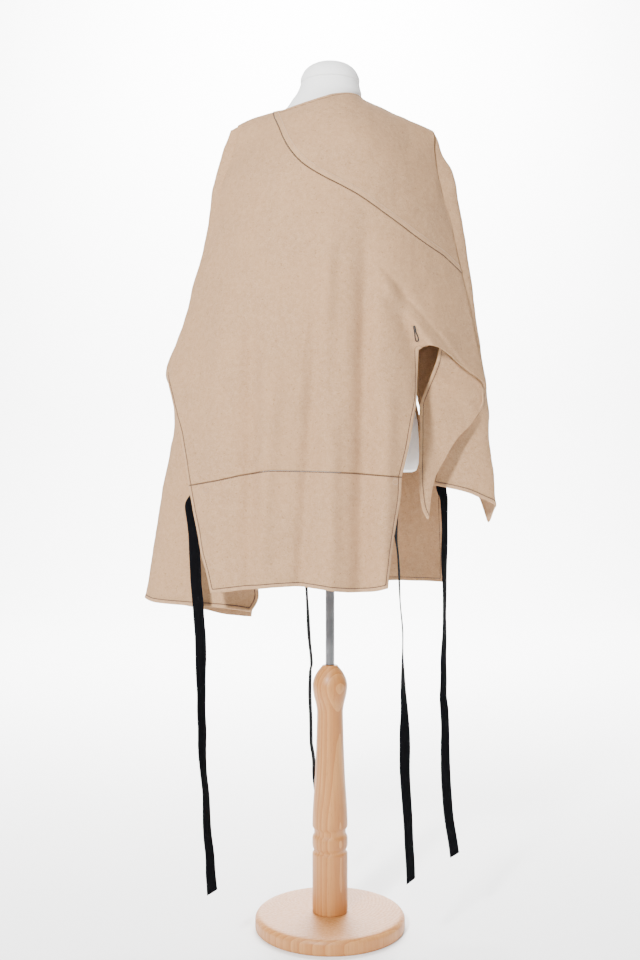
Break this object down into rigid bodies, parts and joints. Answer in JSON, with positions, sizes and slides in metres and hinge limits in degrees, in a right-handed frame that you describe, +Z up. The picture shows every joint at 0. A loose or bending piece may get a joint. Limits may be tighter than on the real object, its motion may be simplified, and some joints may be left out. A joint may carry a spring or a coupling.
{
  "type": "wool cape on a dress form",
  "caption": "Oversized wool cape with a diagonal back seam, a stitched hem band, open sides and hanging ribbon ties, shown on a limbless dress form with a turned wooden stand.",
  "frame": {"origin": "on the floor, on the axis of the stand, at the middle of the base's underside", "axes": "+Z up along the stand, -Y out of the back of the cape, +X towards the wearer's right"},
  "size_m": [0.6667, 0.3948, 1.64],
  "materials": {
    "wool": "matte brushed wool with fine flecks",
    "form_cloth": "matte white cotton",
    "rod_metal": "satin",
    "turned_wood": "pale, satin varnish",
    "black_ribbon": "satin weave",
    "dark_cord": "twisted cord"
  },
  "bodies": {
    "root": {"back_body": "wool", "yoke": "wool", "back_band": "wool", "front_left": "wool", "front_right": "wool", "sleeve_flap": "wool", "ribbon_back_left": "black_ribbon", "ribbon_back_right": "black_ribbon", "ribbon_sleeve": "black_ribbon", "ribbon_front": "black_ribbon", "hanging_loop": "dark_cord", "form_torso": "form_cloth", "neck_cap": "form_cloth", "rod": "rod_metal", "column": "turned_wood", "base": "turned_wood"}
  },
  "joints": []
}
